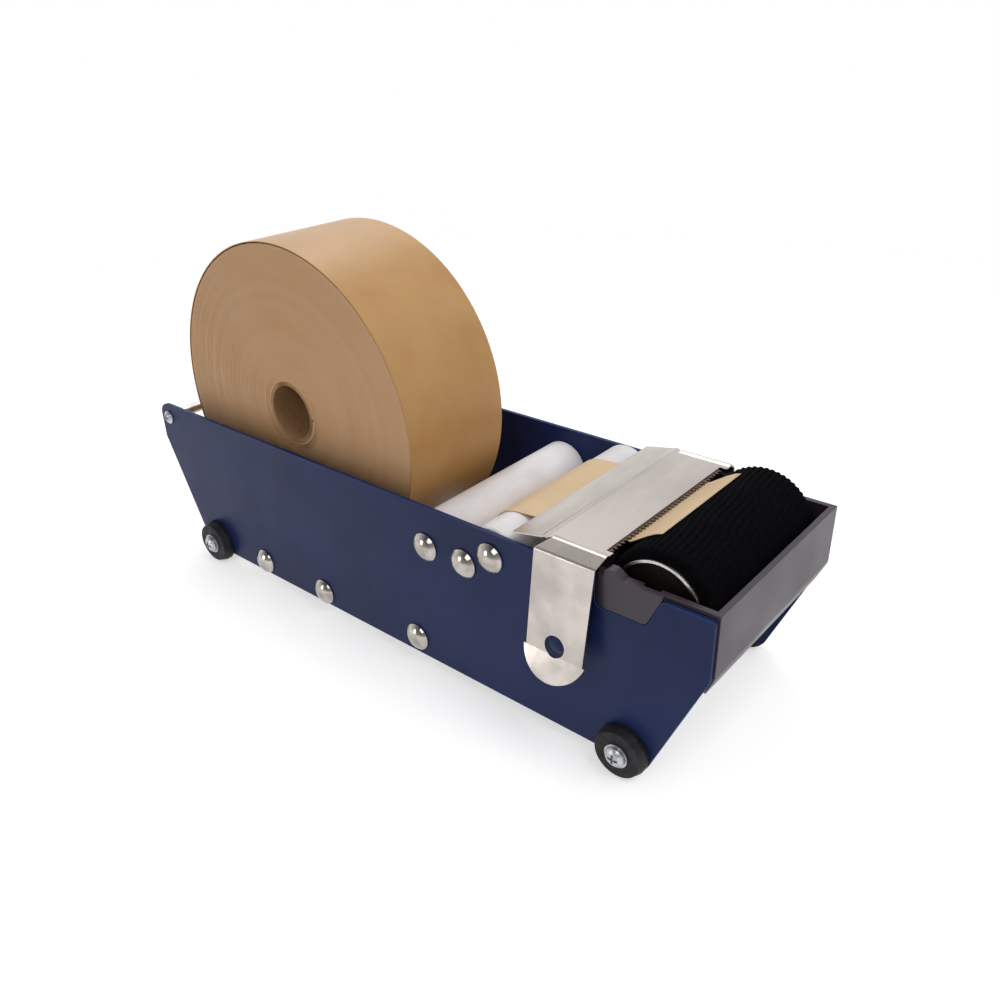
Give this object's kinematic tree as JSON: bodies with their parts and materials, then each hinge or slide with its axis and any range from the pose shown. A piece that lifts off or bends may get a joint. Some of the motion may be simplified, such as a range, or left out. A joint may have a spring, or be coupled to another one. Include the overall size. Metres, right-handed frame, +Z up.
{
  "type": "gummed tape dispenser",
  "caption": "Counter dispenser for gummed paper tape, with navy side plates, a tape roll on rollers, a toothed stainless cutter cover and a water tank with a wetting drum.",
  "frame": {"origin": "on the counter, below the middle of the machine's length and width", "axes": "+X along the machine from the roll end to the cutting end, +Y across it to the left side plate, +Z up"},
  "size_m": [0.3808, 0.1466, 0.2047],
  "materials": {
    "navy_paint": "semi-gloss dark navy powder paint on steel sheet",
    "nickel_plate": "bright nickel-plated pressed caps",
    "zinc_steel": "zinc-plated steel",
    "bright_steel": "bright drawn steel",
    "stainless": "stainless sheet with a fine brushed grain",
    "foot_rubber": "satin black rubber",
    "roller_plastic": "smooth white plastic",
    "tank_plastic": "glossy moulded black plastic",
    "disc_plastic": "dark brown plastic discs",
    "black_knit": "black ribbed knit sleeve",
    "tape_wound": "edges of tightly wound kraft paper tape",
    "tape_kraft": "kraft paper with a glossy gummed coat",
    "tape_gum_side": "matt kraft paper",
    "core_card": "grey-brown board tube"
  },
  "bodies": {
    "frame": {"right_side_plate": "navy_paint", "left_side_plate": "navy_paint", "rear_tie_rod": "bright_steel", "rear_tie_screws": "zinc_steel", "rear_foot_tie_rod": "zinc_steel", "front_foot_tie_rod": "zinc_steel", "foot_rear_right": "foot_rubber", "foot_rear_left": "foot_rubber", "foot_front_right": "foot_rubber", "foot_front_left": "foot_rubber", "foot_washers": "zinc_steel", "foot_screws": "zinc_steel", "cradle_axle_rear": "bright_steel", "cradle_axle_front": "bright_steel", "lower_guide_axle": "bright_steel", "retaining_axle": "bright_steel", "pinch_rod": "bright_steel", "upper_guide_axle": "bright_steel", "push_on_caps_right": "nickel_plate", "push_on_caps_left": "nickel_plate", "clip_studs": "navy_paint", "water_tank": "tank_plastic", "drum_axle": "bright_steel", "tape_strip": "tape_gum_side"},
    "roll": {"tape_roll": "tape_wound", "tape_outer_turn": "tape_kraft", "roll_core": "core_card"},
    "rear_cradle_roller": {"cradle_roller_rear": "zinc_steel"},
    "front_cradle_roller": {"cradle_roller_front": "zinc_steel"},
    "lower_guide": {"lower_guide_roller": "zinc_steel"},
    "retainer": {"retaining_roller": "roller_plastic", "retaining_roller_bushes": "roller_plastic"},
    "upper_guide": {"upper_guide_roller": "roller_plastic", "upper_guide_roller_bushes": "roller_plastic"},
    "wet_drum": {"drum_tube": "bright_steel", "drum_end_discs": "disc_plastic", "knit_sleeve": "black_knit"},
    "cover": {"cutter_cover": "stainless", "cutter_blade": "stainless"}
  },
  "joints": [
    {"name": "roll_spin", "type": "hinge", "parent": "frame", "child": "roll", "pos_m": [-0.0772, 0, 0.11268], "axis": [0, 1, 0], "continuous": true},
    {"name": "rear_cradle_spin", "type": "hinge", "parent": "frame", "child": "rear_cradle_roller", "pos_m": [-0.1042, 0, 0.0138], "axis": [0, 1, 0], "continuous": true},
    {"name": "front_cradle_spin", "type": "hinge", "parent": "frame", "child": "front_cradle_roller", "pos_m": [-0.0502, 0, 0.0138], "axis": [0, 1, 0], "continuous": true},
    {"name": "lower_guide_spin", "type": "hinge", "parent": "frame", "child": "lower_guide", "pos_m": [0.024, 0, 0.0159], "axis": [0, 1, 0], "continuous": true},
    {"name": "retainer_spin", "type": "hinge", "parent": "frame", "child": "retainer", "pos_m": [0.0343, 0, 0.0743], "axis": [0, 1, 0], "continuous": true},
    {"name": "upper_guide_spin", "type": "hinge", "parent": "frame", "child": "upper_guide", "pos_m": [0.076, 0, 0.0836], "axis": [0, 1, 0], "continuous": true},
    {"name": "drum_spin", "type": "hinge", "parent": "frame", "child": "wet_drum", "pos_m": [0.1589, 0, 0.0878], "axis": [0, 1, 0], "continuous": true},
    {"name": "cover_lift_off", "type": "slide", "parent": "frame", "child": "cover", "axis": [0, 0, 1], "range_m": [0, 0.09]}
  ],
  "couplings": [
    {"joint": "rear_cradle_spin", "follows": "roll_spin", "ratio": -9.5361},
    {"joint": "front_cradle_spin", "follows": "roll_spin", "ratio": -9.5361},
    {"joint": "lower_guide_spin", "follows": "roll_spin", "ratio": 10.278},
    {"joint": "upper_guide_spin", "follows": "roll_spin", "ratio": -6.3793},
    {"joint": "drum_spin", "follows": "roll_spin", "ratio": -3.7}
  ]
}
